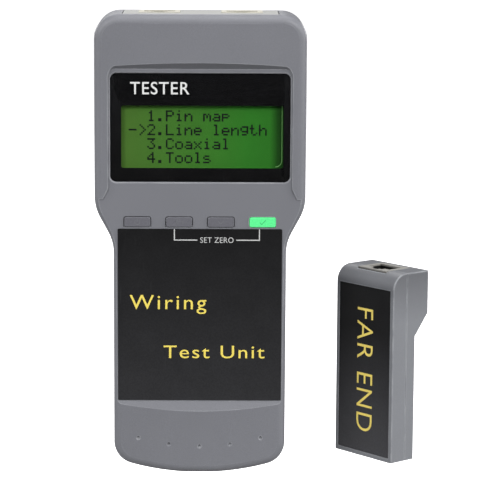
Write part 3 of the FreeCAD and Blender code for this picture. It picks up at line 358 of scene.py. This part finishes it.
GREY = srgb(121, 122, 128)
finishes = {
    "case": case_plastic("case_grey", GREY),
    # The remote's case, with wider lighter edges and a painted shade over its top end.
    "far_case": case_plastic("far_case_grey", srgb(130, 132, 137), 1.0, (far_top - FAR_TOP_SHADE_LENGTH, far_top)),
    # The end panel's paler grey is partly its own moulding and partly painted light for its up-facing top.
    "end": case_plastic("end_grey", srgb(158, 158, 155)),
    "key": key_plastic("key_grey", srgb(105, 105, 112)),
    # The enter key carries a painted glow.
    "green_key": key_plastic("key_green", srgb(92, 236, 144), 0.14),
    # The overlay, the remote label and the window mask each grade between two blacks by painted reflection
    # and shade.
    "overlay": printed_black("overlay_black", srgb(27, 27, 28), srgb(48, 48, 50), pad_low.z, pad_high.z),
    "far_overlay": printed_black(
        "far_overlay_black", srgb(31, 31, 32), srgb(74, 74, 77), far_low.z, far_high.z - FAR_LABEL_EVEN
    ),
    "mask": printed_black("mask_black", srgb(24, 24, 26), srgb(12, 12, 13), pane_low.z, pane_high.z),
    "window": clear_window("window_clear"),
    "display": display_green("lcd_green", glass_low.x, glass_high.x),
    "backlight": moulded("backlight_white", srgb(214, 220, 205), 0.4),
    "bezel": metal("bezel_steel", srgb(176, 178, 176), 0.32, (8, 1, 1)),
    "board": circuit_board("board_green"),
    "black_part": moulded("part_black", srgb(34, 34, 36), 0.48),
    "blue_part": moulded("trimmer_blue", srgb(34, 82, 158), 0.4),
    "cream": moulded("plunger_cream", srgb(214, 206, 184), 0.5),
    "socket": socket_plastic("port_beige", srgb(190, 186, 172)),
    "far_socket": socket_plastic("far_port_beige", srgb(140, 138, 133)),
    "gold": metal("contact_gold", srgb(226, 178, 92), 0.24),
    "plated": metal("plated_steel", srgb(196, 198, 200), 0.28),
    "can": metal("can_silver", srgb(188, 190, 194), 0.34),
    "screw": metal("screw_steel", srgb(120, 122, 126), 0.36, grain=0.1),
    "label": matt_ink_and_shade("label_silver", srgb(176, 178, 180)),
    "cell_up": cell_sleeve("cell_sleeve_up", True),
    "cell_down": cell_sleeve("cell_sleeve_down", False),
    "wire": wire_insulation("wire_insulation"),
    "diode": moulded("diode_glass", srgb(196, 96, 52), 0.2),
    "yellow": matt_ink_and_shade("ink_yellow", srgb(246, 224, 104)),
    "far_yellow": matt_ink_and_shade("ink_far_yellow", srgb(255, 230, 118)),
    "white": matt_ink_and_shade("ink_white", srgb(228, 229, 228)),
    "pale_grey": matt_ink_and_shade("ink_pale_grey", srgb(206, 207, 206)),
    "grey_ink": matt_ink_and_shade("ink_grey", srgb(118, 119, 124)),
    # Painted shade for the gaps round the keys.
    "painted_shade": matt_ink_and_shade("key_painted_shade", srgb(74, 74, 79)),
    "green_ink": matt_ink_and_shade("ink_green", srgb(70, 196, 118)),
    "end_line": matt_ink_and_shade("display_end_line", srgb(112, 168, 96)),
    "dot": matt_ink_and_shade("display_dots", srgb(2, 14, 5)),
}

NODE_FINISH = {
    "case": ("front_shell", "rear_shell", "battery_door"),
    "far_case": ("remote_front_shell", "remote_rear_shell"),
    "end": ("end_panel",),
    "key": ("power_key", "back_key", "scroll_key"),
    "green_key": ("enter_key",),
    "overlay": ("keypad_label",),
    "far_overlay": ("remote_label",),
    "mask": ("window_mask",),
    "window": ("display_window",),
    "display": ("lcd_glass",),
    "backlight": ("lcd_backlight",),
    "bezel": ("lcd_bezel",),
    "board": ("lcd_board", "main_board", "remote_board"),
    "black_part": ("processor_chip", "key_switches", "lcd_header"),
    "blue_part": ("contrast_trimmer",),
    "cream": ("power_plunger", "back_plunger", "scroll_plunger", "enter_plunger", "trimmer_rotor"),
    "socket": ("port_1_housing", "port_2_housing"),
    "far_socket": ("remote_port_housing",),
    "gold": ("port_1_contacts", "port_2_contacts", "remote_port_contacts"),
    "plated": ("battery_springs", "battery_plates"),
    "can": ("crystal", "capacitors"),
    "screw": ("case_screws", "board_screws", "lcd_screws", "remote_screw"),
    "label": ("rear_label",),
    "cell_up": ("battery_1", "battery_3"),
    "cell_down": ("battery_2", "battery_4"),
    "wire": ("battery_leads",),
    "diode": ("remote_diodes",),
}
for kind, names in NODE_FINISH.items():
    for node_name in names:
        for holder in nodes[node_name].material_slots:
            holder.material = finishes[kind]


# ------------------------------------------------------------------ faces that carry print
class Face:
    """The flat front of a CAD node: its middle, its right, up and outward directions, and its size."""

    def __init__(self, node, facing):
        polygons = [p for p in nodes[node].data.polygons if p.normal.dot(facing) > 0.6]
        flat = max(polygons, key=lambda p: p.area)
        self.out = flat.normal.copy()
        self.right = UP.cross(self.out).normalized()
        self.up = self.out.cross(self.right)
        points = [
            nodes[node].data.vertices[v].co
            for p in polygons
            if p.normal.dot(self.out) > 0.999
            for v in p.vertices
        ]
        spans = [
            (min(p.dot(axis) for p in points), max(p.dot(axis) for p in points))
            for axis in (self.right, self.up, self.out)
        ]
        self.wide = spans[0][1] - spans[0][0]
        self.high = spans[1][1] - spans[1][0]
        middle = (spans[0][0] + spans[0][1]) / 2, (spans[1][0] + spans[1][1]) / 2
        self.middle = self.right * middle[0] + self.up * middle[1] + self.out * spans[2][1]

    def matrix(self, x=0.0, y=0.0, turn=0.0):
        """From a piece's own plane to this face, x and y in millimetres from the face's middle."""
        place = self.middle + self.right * (x * MM) + self.up * (y * MM)
        axes = Matrix((self.right, self.up, self.out)).transposed().to_4x4()
        return Matrix.Translation(place) @ axes @ Matrix.Rotation(math.radians(turn), 4, "Z")


def add_piece(name, mesh, place, finish, body):
    """Puts a mesh into the scene as a piece that rides on a CAD body."""
    mesh.materials.clear()
    mesh.materials.append(finishes[finish])
    made = bpy.data.objects.new(name, mesh)
    bpy.context.scene.collection.objects.link(made)
    made.matrix_world = place
    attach(made, body)
    return made


INK = 0.03 * MM
CAPITAL = 0.682
HALF_DEEP = 0.01


def words(name, text, cap, wide, face, x, y, finish, body, turn=0.0, weight=0.0, spacing=1.0):
    """Printed words. cap is the height of a capital, wide the whole width, and x and y the middle.

    CAPITAL is the height of a capital of the typeface at size 1.
    """
    curve = bpy.data.curves.new(name, "FONT")
    curve.body = text
    curve.resolution_u = 5
    curve.offset = weight
    curve.extrude = HALF_DEEP
    curve.space_character = spacing
    source = bpy.data.objects.new(name + "_text", curve)
    bpy.context.scene.collection.objects.link(source)
    bpy.context.view_layer.update()
    mesh = bpy.data.meshes.new_from_object(source.evaluated_get(bpy.context.evaluated_depsgraph_get()))
    bpy.data.objects.remove(source)
    xs = [v.co.x for v in mesh.vertices]
    across = wide * MM / (max(xs) - min(xs))
    shrink = Matrix.Diagonal((across, cap * MM / CAPITAL, INK / (2 * HALF_DEEP), 1))
    centre = Matrix.Translation((-(max(xs) + min(xs)) / 2, -CAPITAL / 2, HALF_DEEP))
    mesh.transform(shrink @ centre)
    return add_piece(name, mesh, face.matrix(x, y, turn), finish, body)


def arc(x, y, radius, start, end, steps=24):
    """Points round an arc, angles in degrees."""
    angles = [math.radians(start + (end - start) * i / steps) for i in range(steps + 1)]
    return [(x + radius * math.cos(a), y + radius * math.sin(a)) for a in angles]


def add_stroke(shape, points, wide, closed=False):
    """A flat line of even width with mitred corners, as a thin closed strip."""
    path = [Vector(p) * MM for p in points]
    half = wide * MM / 2
    sides = []
    for i, point in enumerate(path):
        before = path[i - 1] if i or closed else None
        after = path[(i + 1) % len(path)] if i + 1 < len(path) or closed else None
        first = (point - before).normalized() if before is not None else (after - point).normalized()
        second = (after - point).normalized() if after is not None else first
        normal = Vector((-first.y - second.y, first.x + second.x)).normalized()
        reach = half / max(0.3, normal.dot(Vector((-first.y, first.x))))
        sides.append((point + normal * reach, point - normal * reach))
    rings = []
    for left, right in sides:
        corners = ((left, 0), (right, 0), (right, INK), (left, INK))
        rings.append([shape.verts.new((*point, high)) for point, high in corners])
    spans = list(zip(rings, rings[1:]))
    if closed:
        spans.append((rings[-1], rings[0]))
    for near, far in spans:
        for i in range(4):
            shape.faces.new((near[i], near[(i + 1) % 4], far[(i + 1) % 4], far[i]))
    if not closed:
        shape.faces.new(rings[0][::-1])
        shape.faces.new(rings[-1])


def strokes(name, lines, wide, face, x, y, finish, body, turn=0.0):
    """Flat line work: printed marks, and the painted shade lines round the keys. A line is a list of points
    in millimetres; it closes if it ends where it starts.
    """
    shape = bmesh.new()
    for line in lines:
        closed = line[0] == line[-1]
        add_stroke(shape, line[:-1] if closed else line, wide, closed)
    bmesh.ops.recalc_face_normals(shape, faces=shape.faces)
    mesh = bpy.data.meshes.new(name)
    shape.to_mesh(mesh)
    shape.free()
    return add_piece(name, mesh, face.matrix(x, y, turn), finish, body)


# ------------------------------------------------------------------ print on the overlay and the window
pad = Face("keypad_label", FRONT)
window = Face("display_window", FRONT)
far_pad = Face("remote_label", FRONT)

LABEL_EDGE = 0.1
BRACKET_LEFT, BRACKET_RIGHT, BRACKET_DEEP = -9.8, 22.8, 4.2
BRACKET_GAP = (-1.0, 14.0)
pad_top = pad.high / MM / 2 - LABEL_EDGE
strokes(
    "overlay_bracket",
    [
        [(BRACKET_LEFT, 0), (BRACKET_LEFT, -BRACKET_DEEP), (BRACKET_GAP[0], -BRACKET_DEEP)],
        [(BRACKET_RIGHT, 0), (BRACKET_RIGHT, -BRACKET_DEEP), (BRACKET_GAP[1], -BRACKET_DEEP)],
    ],
    0.4, pad, 0, pad_top, "pale_grey", "main_unit",
)
words(
    "overlay_function_word", "SET ZERO", 2.1, 12.8, pad, sum(BRACKET_GAP) / 2, pad_top - BRACKET_DEEP,
    "pale_grey", "main_unit", weight=-0.004, spacing=1.05,
)
words(
    "overlay_word_upper", "Wiring", 5.5, 29.5, pad, -12.2, 5.0,
    "yellow", "main_unit", weight=0.0, spacing=1.2,
)
words(
    "overlay_word_lower", "Test Unit", 4.9, 39.0, pad, 5.6, -14.5,
    "yellow", "main_unit", weight=0.0, spacing=1.15,
)
words(
    "window_word", "TESTER", 4.6, 22.5, window, -15.4, 15.2,
    "white", "main_unit", weight=0.006, spacing=1.1,
)
words(
    "remote_word", "FAR END", 9.0, 50.0, far_pad, 0.3, -0.2,
    "far_yellow", "remote", turn=-90, weight=-0.006, spacing=1.1,
)


# ------------------------------------------------------------------ marks on the back
plate = Face("rear_label", BACK)
PLATE_MARGIN = 1.6
PLATE_HALF = plate.wide / MM / 2 - PLATE_MARGIN
PLATE_TALL = plate.high / MM / 2 - PLATE_MARGIN
PLATE_ROWS = (8.5, 1.5, -5.5)
PLATE_COLUMN = -6.0
strokes(
    "rear_label_rules",
    [
        [(-PLATE_HALF, -PLATE_TALL), (PLATE_HALF, -PLATE_TALL), (PLATE_HALF, PLATE_TALL),
         (-PLATE_HALF, PLATE_TALL), (-PLATE_HALF, -PLATE_TALL)],
        *[[(-PLATE_HALF, level), (PLATE_HALF, level)] for level in PLATE_ROWS],
        [(PLATE_COLUMN, PLATE_ROWS[0]), (PLATE_COLUMN, PLATE_ROWS[-1])],
    ],
    0.3, plate, 0, 0, "mask", "main_unit",
)
door = Face("battery_door", BACK)
strokes(
    "door_arrow",
    [[(0, 4.5), (0, -4.0)], [(-2.6, -1.4), (0, -4.2), (2.6, -1.4)]],
    0.8, door, 0, -4.0, "key", "battery_door",
)


# ------------------------------------------------------------------ display characters
GLYPHS = {
    "1": "00100 01100 00100 00100 00100 00100 01110",
    "2": "01110 10001 00001 00010 00100 01000 11111",
    "3": "11111 00010 00100 00010 00001 10001 01110",
    "4": "00010 00110 01010 10010 11111 00010 00010",
    ".": "00000 00000 00000 00000 00000 01100 01100",
    "-": "00000 00000 00000 11111 00000 00000 00000",
    ">": "01000 00100 00010 00001 00010 00100 01000",
    "C": "01110 10001 10000 10000 10000 10001 01110",
    "L": "10000 10000 10000 10000 10000 10000 11111",
    "P": "11110 10001 10001 11110 10000 10000 10000",
    "T": "11111 00100 00100 00100 00100 00100 00100",
    "a": "00000 00000 01110 00001 01111 10001 01111",
    "e": "00000 00000 01110 10001 11111 10000 01110",
    "g": "00000 01111 10001 10001 01111 00001 01110",
    "h": "10000 10000 10110 11001 10001 10001 10001",
    "i": "00100 00000 01100 00100 00100 00100 01110",
    "l": "01100 00100 00100 00100 00100 00100 01110",
    "m": "00000 00000 11010 10101 10101 10001 10001",
    "n": "00000 00000 10110 11001 10001 10001 10001",
    "o": "00000 00000 01110 10001 10001 10001 01110",
    "p": "00000 00000 11110 10001 11110 10000 10000",
    "s": "00000 00000 01110 10000 01110 00001 11110",
    "t": "01000 01000 11100 01000 01000 01001 00110",
    "x": "00000 00000 10001 01010 00100 01010 10001",
}
ROWS = ("  1.Pin map", "->2.Line length", "  3.Coaxial", "  4.Tools")
DOT, DOT_PITCH = 0.62, 0.6
CHAR_PITCH, ROW_PITCH = 3.55, 5.35
COLUMNS = 16
GLYPH_WIDE, GLYPH_HIGH = 5, 7


def display_characters(face, x, y):
    """Rows of 5 by 7 dots, x and y the middle of the whole block, in millimetres from the face's middle."""
    wide = CHAR_PITCH * (COLUMNS - 1) + DOT_PITCH * (GLYPH_WIDE - 1)
    high = ROW_PITCH * (len(ROWS) - 1) + DOT_PITCH * (GLYPH_HIGH - 1)
    shape = bmesh.new()
    for row, text in enumerate(ROWS):
        for column, letter in enumerate(text):
            lines = GLYPHS[letter].split() if letter != " " else []
            for i, line in enumerate(lines):
                for k in (k for k, bit in enumerate(line) if bit == "1"):
                    middle = Vector((
                        column * CHAR_PITCH + k * DOT_PITCH - wide / 2,
                        high / 2 - row * ROW_PITCH - i * DOT_PITCH,
                        INK / MM / 2,
                    ))
                    grow = Matrix.Diagonal((DOT * MM, DOT * MM, INK, 1))
                    bmesh.ops.create_cube(shape, size=1, matrix=Matrix.Translation(middle * MM) @ grow)
    mesh = bpy.data.meshes.new("display_characters")
    shape.to_mesh(mesh)
    shape.free()
    add_piece("display_characters", mesh, face.matrix(x, y), "dot", "main_unit")


glass = Face("lcd_glass", FRONT)
display_characters(glass, 0.8, -0.55)

SCREEN_RIGHT, SCREEN_TOP, SCREEN_LOW = 31.2, 11.5, -12.0
END_BEND = 2.4
strokes(
    "display_end_line",
    [[(SCREEN_RIGHT, SCREEN_TOP)] + arc(SCREEN_RIGHT - END_BEND, SCREEN_LOW + END_BEND, END_BEND, 0, -90, 8)],
    0.3, glass, 0, 0, "end_line", "main_unit",
)


# ------------------------------------------------------------------ marks on the keys and painted shade lines round them
KEY_LINE = 0.24
KEY_HALF_WIDE, KEY_HALF_HIGH, KEY_PROUD = 5.0, 1.9, 0.35
# Offset, width and corner bend of the painted shade lines round the keys, in millimetres.
KEY_SHADE_OUT, KEY_SHADE_LINE, KEY_SHADE_BEND = 0.28, 0.2, 0.95


def key_painted_shade(key):
    """A painted shade line over the top and sides of a key's opening, on the deck, where the gap round the
    key lies in shade.
    """
    deck = Face(f"{key}_key", FRONT)
    deck.middle -= deck.out * (KEY_PROUD * MM)
    right, top = KEY_HALF_WIDE + KEY_SHADE_OUT, KEY_HALF_HIGH + KEY_SHADE_OUT
    line = [(right, -KEY_HALF_HIGH)]
    line += arc(right - KEY_SHADE_BEND, top - KEY_SHADE_BEND, KEY_SHADE_BEND, 0, 90, 5)
    line += arc(KEY_SHADE_BEND - right, top - KEY_SHADE_BEND, KEY_SHADE_BEND, 90, 180, 5)
    line.append((-right, -KEY_HALF_HIGH))
    strokes(f"{key}_moat", [line], KEY_SHADE_LINE, deck, 0, 0, "painted_shade", "main_unit")


def key_mark(key, lines):
    """A small sign printed on a key."""
    face = Face(f"{key}_key", FRONT)
    ink, slot = ("green_ink", "key_green") if key == "enter" else ("grey_ink", "key_grey")
    strokes(f"{key}_mark", lines, KEY_LINE, face, 0, 0, ink, f"{key}_key")


for key_name in ("power", "back", "scroll"):
    key_painted_shade(key_name)
key_mark("power", [arc(0, 0, 1.0, 125, 415), [(0, 0.2), (0, 1.35)]])
key_mark("back", [[(1.4, -0.7), (1.4, 0.2), (-1.3, 0.2)], [(-0.5, 1.0), (-1.3, 0.2), (-0.5, -0.6)]])
key_mark("scroll", [[(-1.1, 0.55), (0, -0.6), (1.1, 0.55)]])
key_mark("enter", [[(-1.1, 0.0), (-0.35, -0.8), (1.2, 0.9)]])


# ------------------------------------------------------------------ stage
BOWL_FLOOR, BOWL_BEND, BOWL_HIGH = 2.4, 0.8, 3.2
BOUNCE_FAR, BOUNCE_NEAR, PALE_GLOW = 0.14, 0.36, 1.0
LIT_TABLE = (0.4, 0.12)
door_slide = next(joint for joint in frame["joints"] if joint["name"] == "battery_door_slide")
CLEAR = 0.002
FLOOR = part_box("battery_door")[0].z - door_slide["range_m"][1] - CLEAR


def studio_bowl():
    """A round floor that curves up into an even wall, so that every view has the same plain backdrop.

    It lies low enough for the battery door to slide right off the standing tester.
    """
    profile = [(0.0, 0.0), (0.3, 0.0), (0.8, 0.0), (1.6, 0.0), (BOWL_FLOOR, 0.0)]
    for i in range(1, 9):
        angle = math.radians(90 * i / 8)
        profile.append((BOWL_FLOOR + BOWL_BEND * math.sin(angle), BOWL_BEND * (1 - math.cos(angle))))
    profile.append((BOWL_FLOOR + BOWL_BEND, BOWL_HIGH))
    shape = bmesh.new()
    points = [shape.verts.new((r, 0, z)) for r, z in profile]
    edges = [shape.edges.new(pair) for pair in zip(points, points[1:])]
    bmesh.ops.spin(shape, geom=points + edges, axis=UP, cent=(0, 0, 0), angle=math.tau, steps=64)
    bmesh.ops.remove_doubles(shape, verts=shape.verts, dist=1e-5)
    for face in shape.faces:
        face.smooth = True
    bmesh.ops.recalc_face_normals(shape, faces=shape.faces)
    mesh = bpy.data.meshes.new("studio_bowl")
    shape.to_mesh(mesh)
    shape.free()
    made = bpy.data.objects.new("studio_bowl", mesh)
    made.location.z = FLOOR
    bpy.context.scene.collection.objects.link(made)
    pale = Finish("studio_white", (0.9, 0.9, 0.9, 1), 0.9, shine=0.05)
    seen = pale.node("ShaderNodeLightPath").outputs["Is Camera Ray"]
    away = pale.node("ShaderNodeVectorMath", operation="LENGTH")
    pale.feed(away.inputs[0], pale.at)
    near = pale.ramp(away.outputs["Value"], *LIT_TABLE)
    bounce = pale.mix(near, (*[BOUNCE_FAR] * 3, 1), (*[BOUNCE_NEAR] * 3, 1))
    pale.colour = pale.mix(seen, bounce, pale.colour)
    pale.mottle(400.0, 0.01).glow(0.0)
    pale.feed(pale.shader.inputs["Emission Strength"], pale.times(seen, PALE_GLOW))
    mesh.materials.append(pale.done())


def area_light(name, place, aim, wide, high, power):
    """A soft rectangular light that points from its place at its aim."""
    data = bpy.data.lights.new(name, "AREA")
    data.shape, data.size, data.size_y = "RECTANGLE", wide, high
    data.energy = power
    made = bpy.data.objects.new(name, data)
    made.location = place
    made.rotation_euler = (Vector(aim) - Vector(place)).to_track_quat("-Z", "Y").to_euler()
    bpy.context.scene.collection.objects.link(made)


studio_bowl()
area_light("top_light", (0.1, -0.1, 1.2), (0, 0, 0.08), 0.9, 0.7, 6)
area_light("right_light", (0.85, -1.1, 0.95), (0, 0, 0.08), 0.6, 0.6, 13.5)
area_light("left_light", (-0.85, -1.1, 0.95), (0, 0, 0.08), 0.6, 0.6, 12.5)
area_light("right_side_light", (1.3, -0.3, 0.45), (0, 0, 0.1), 0.25, 0.9, 8.5)
area_light("left_side_light", (-1.3, -0.3, 0.45), (0, 0, 0.1), 0.25, 0.9, 5)
area_light("back_light", (-0.3, 1.3, 0.9), (0, 0, 0.08), 0.9, 0.6, 5)
area_light("back_right_light", (1.0, 0.9, 0.45), (0, 0, 0.1), 0.4, 0.5, 6)
area_light("back_left_light", (-1.0, 0.9, 0.45), (0, 0, 0.1), 0.4, 0.5, 6)

SKY = 0.25
world = bpy.data.worlds.new("studio_sky")
world.use_nodes = True
world.node_tree.nodes["Background"].inputs["Color"].default_value = (1, 1, 1, 1)
world.node_tree.nodes["Background"].inputs["Strength"].default_value = SKY
bpy.context.scene.world = world
bpy.context.scene.view_settings.view_transform = "Standard"

# ------------------------------------------------------------------ camera
CAMERA_PLACE = (0.00503, -0.9149, 0.2374)
HEADING, PITCH, ROLL = -0.657, 80.82, 0.32
SENSOR, LENS = 36.0, 178.46
camera_data = bpy.data.cameras.new("camera")
camera_data.sensor_width = SENSOR
camera_data.lens = LENS
camera = bpy.data.objects.new("camera", camera_data)
camera.location = CAMERA_PLACE
turns = [
    Matrix.Rotation(math.radians(angle), 3, axis)
    for angle, axis in ((HEADING, "Z"), (PITCH, "X"), (ROLL, "Z"))
]
camera.rotation_euler = (turns[0] @ turns[1] @ turns[2]).to_euler()
bpy.context.scene.collection.objects.link(camera)
bpy.context.scene.camera = camera
